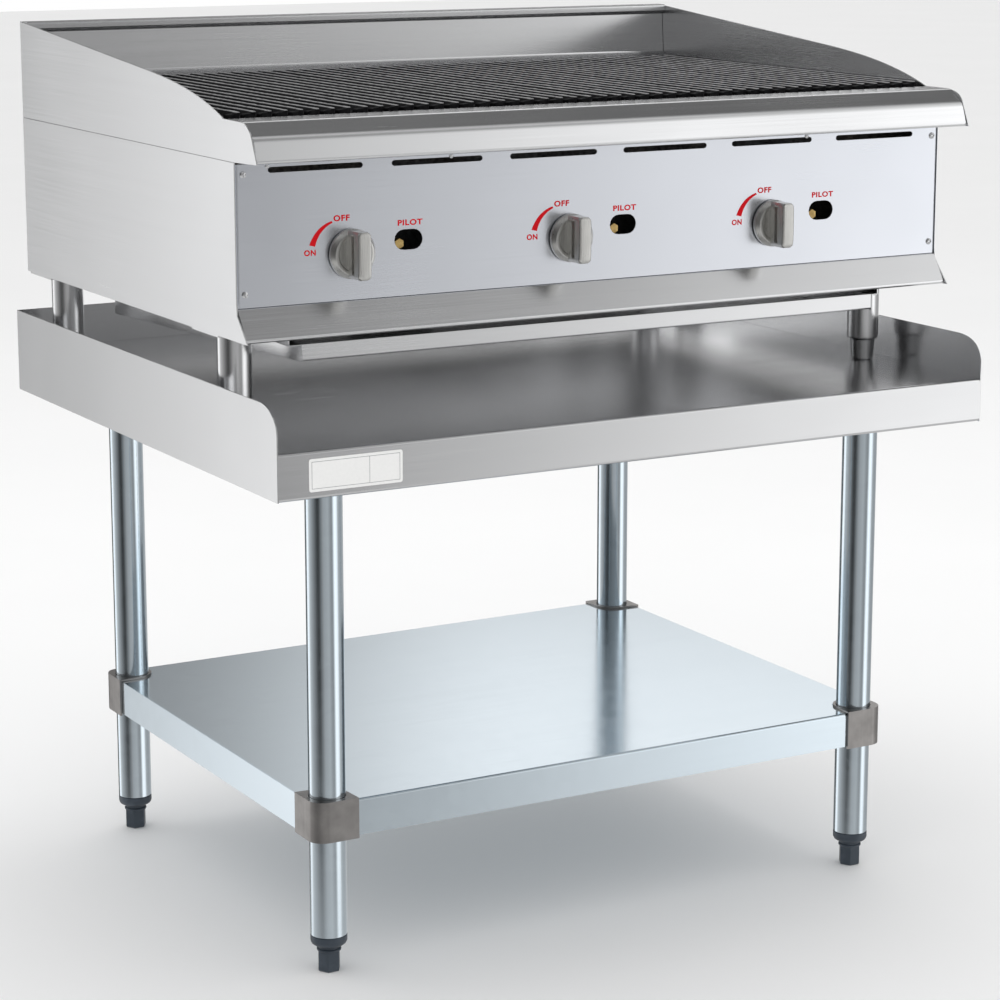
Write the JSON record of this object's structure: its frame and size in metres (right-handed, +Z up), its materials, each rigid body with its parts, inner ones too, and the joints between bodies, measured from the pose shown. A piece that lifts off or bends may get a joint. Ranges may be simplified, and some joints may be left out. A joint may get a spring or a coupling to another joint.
{
  "type": "charbroiler grill",
  "caption": "Gas charbroiler with lift-off cast-iron grates, turning knobs and slide-out drip tray, on a stainless equipment stand with undershelf and screw-adjusted feet.",
  "frame": {"origin": "on the floor under the middle of the stand", "axes": "+Z up, +X to the right of someone facing the controls, -Y towards that person"},
  "size_m": [0.9144, 0.762, 1.021],
  "materials": {
    "stainless": "brushed stainless steel",
    "panel_steel": "fine satin stainless steel",
    "galvanised": "bright galvanised steel",
    "clamp_steel": "dull cast clamp metal",
    "cast_iron": "rough black cast iron",
    "dark_steel": "heat-dulled steel",
    "brass": "plain brass",
    "knob_metal": "satin die-cast metal",
    "foot_plastic": "moulded grey plastic"
  },
  "bodies": {
    "stand_and_cabinet": {"stand_top": "stainless", "left_side_panel": "stainless", "right_side_panel": "stainless", "left_splash_guard": "stainless", "right_splash_guard": "stainless", "back_panel": "stainless", "cabinet_floor": "stainless", "front_skirt": "stainless", "back_splash_guard": "stainless", "front_rail": "stainless", "control_panel": "panel_steel", "undershelf": "galvanised", "hat_channel_front": "galvanised", "hat_channel_back": "galvanised", "stand_leg_front_left": "galvanised", "corner_clamp_front_left": "clamp_steel", "grill_leg_front_left": "stainless", "stand_leg_front_right": "galvanised", "corner_clamp_front_right": "clamp_steel", "grill_leg_front_right": "stainless", "stand_leg_back_left": "galvanised", "corner_clamp_back_left": "clamp_steel", "grill_leg_back_left": "stainless", "stand_leg_back_right": "galvanised", "corner_clamp_back_right": "clamp_steel", "grill_leg_back_right": "stainless", "front_baffle": "dark_steel", "rear_baffle": "dark_steel", "gas_manifold": "dark_steel", "burner_1": "dark_steel", "radiant_1": "dark_steel", "gas_valve_1": "brass", "pilot_valve_1": "brass", "burner_2": "dark_steel", "radiant_2": "dark_steel", "gas_valve_2": "brass", "pilot_valve_2": "brass", "burner_3": "dark_steel", "radiant_3": "dark_steel", "gas_valve_3": "brass", "pilot_valve_3": "brass"},
    "knob_1": {"knob_1": "knob_metal"},
    "knob_2": {"knob_2": "knob_metal"},
    "knob_3": {"knob_3": "knob_metal"},
    "grate_1": {"grate_1": "cast_iron"},
    "grate_2": {"grate_2": "cast_iron"},
    "grate_3": {"grate_3": "cast_iron"},
    "grate_4": {"grate_4": "cast_iron"},
    "grate_5": {"grate_5": "cast_iron"},
    "grate_6": {"grate_6": "cast_iron"},
    "drip_tray": {"drip_tray": "stainless"},
    "grill_foot_front_left": {"grill_foot_front_left": "stainless"},
    "grill_foot_front_right": {"grill_foot_front_right": "stainless"},
    "grill_foot_back_left": {"grill_foot_back_left": "stainless"},
    "grill_foot_back_right": {"grill_foot_back_right": "stainless"},
    "bullet_foot_front_left": {"bullet_foot_front_left": "foot_plastic"},
    "bullet_foot_front_right": {"bullet_foot_front_right": "foot_plastic"},
    "bullet_foot_back_left": {"bullet_foot_back_left": "foot_plastic"},
    "bullet_foot_back_right": {"bullet_foot_back_right": "foot_plastic"}
  },
  "joints": [
    {"name": "knob_1_turn", "type": "hinge", "parent": "stand_and_cabinet", "child": "knob_1", "pos_m": [-0.3229, -0.288, 0.802], "axis": [0, -1, 0], "range_deg": [0, 90]},
    {"name": "knob_2_turn", "type": "hinge", "parent": "stand_and_cabinet", "child": "knob_2", "pos_m": [-0.052, -0.288, 0.802], "axis": [0, -1, 0], "range_deg": [0, 90]},
    {"name": "knob_3_turn", "type": "hinge", "parent": "stand_and_cabinet", "child": "knob_3", "pos_m": [0.2189, -0.288, 0.802], "axis": [0, -1, 0], "range_deg": [0, 90]},
    {"name": "grate_1_lift", "type": "slide", "parent": "stand_and_cabinet", "child": "grate_1", "axis": [0, 0, 1], "range_m": [0, 0.1]},
    {"name": "grate_2_lift", "type": "slide", "parent": "stand_and_cabinet", "child": "grate_2", "axis": [0, 0, 1], "range_m": [0, 0.1]},
    {"name": "grate_3_lift", "type": "slide", "parent": "stand_and_cabinet", "child": "grate_3", "axis": [0, 0, 1], "range_m": [0, 0.1]},
    {"name": "grate_4_lift", "type": "slide", "parent": "stand_and_cabinet", "child": "grate_4", "axis": [0, 0, 1], "range_m": [0, 0.1]},
    {"name": "grate_5_lift", "type": "slide", "parent": "stand_and_cabinet", "child": "grate_5", "axis": [0, 0, 1], "range_m": [0, 0.1]},
    {"name": "grate_6_lift", "type": "slide", "parent": "stand_and_cabinet", "child": "grate_6", "axis": [0, 0, 1], "range_m": [0, 0.1]},
    {"name": "drip_tray_pull", "type": "slide", "parent": "stand_and_cabinet", "child": "drip_tray", "axis": [0, -1, 0], "range_m": [0, 0.55]},
    {"name": "grill_foot_front_left_screw", "type": "slide", "parent": "stand_and_cabinet", "child": "grill_foot_front_left", "axis": [0, 0, 1], "range_m": [0, 0.02]},
    {"name": "grill_foot_front_right_screw", "type": "slide", "parent": "stand_and_cabinet", "child": "grill_foot_front_right", "axis": [0, 0, 1], "range_m": [0, 0.02]},
    {"name": "grill_foot_back_left_screw", "type": "slide", "parent": "stand_and_cabinet", "child": "grill_foot_back_left", "axis": [0, 0, 1], "range_m": [0, 0.02]},
    {"name": "grill_foot_back_right_screw", "type": "slide", "parent": "stand_and_cabinet", "child": "grill_foot_back_right", "axis": [0, 0, 1], "range_m": [0, 0.02]},
    {"name": "bullet_foot_front_left_screw", "type": "slide", "parent": "stand_and_cabinet", "child": "bullet_foot_front_left", "axis": [0, 0, -1], "range_m": [0, 0.025]},
    {"name": "bullet_foot_front_right_screw", "type": "slide", "parent": "stand_and_cabinet", "child": "bullet_foot_front_right", "axis": [0, 0, -1], "range_m": [0, 0.025]},
    {"name": "bullet_foot_back_left_screw", "type": "slide", "parent": "stand_and_cabinet", "child": "bullet_foot_back_left", "axis": [0, 0, -1], "range_m": [0, 0.025]},
    {"name": "bullet_foot_back_right_screw", "type": "slide", "parent": "stand_and_cabinet", "child": "bullet_foot_back_right", "axis": [0, 0, -1], "range_m": [0, 0.025]}
  ]
}
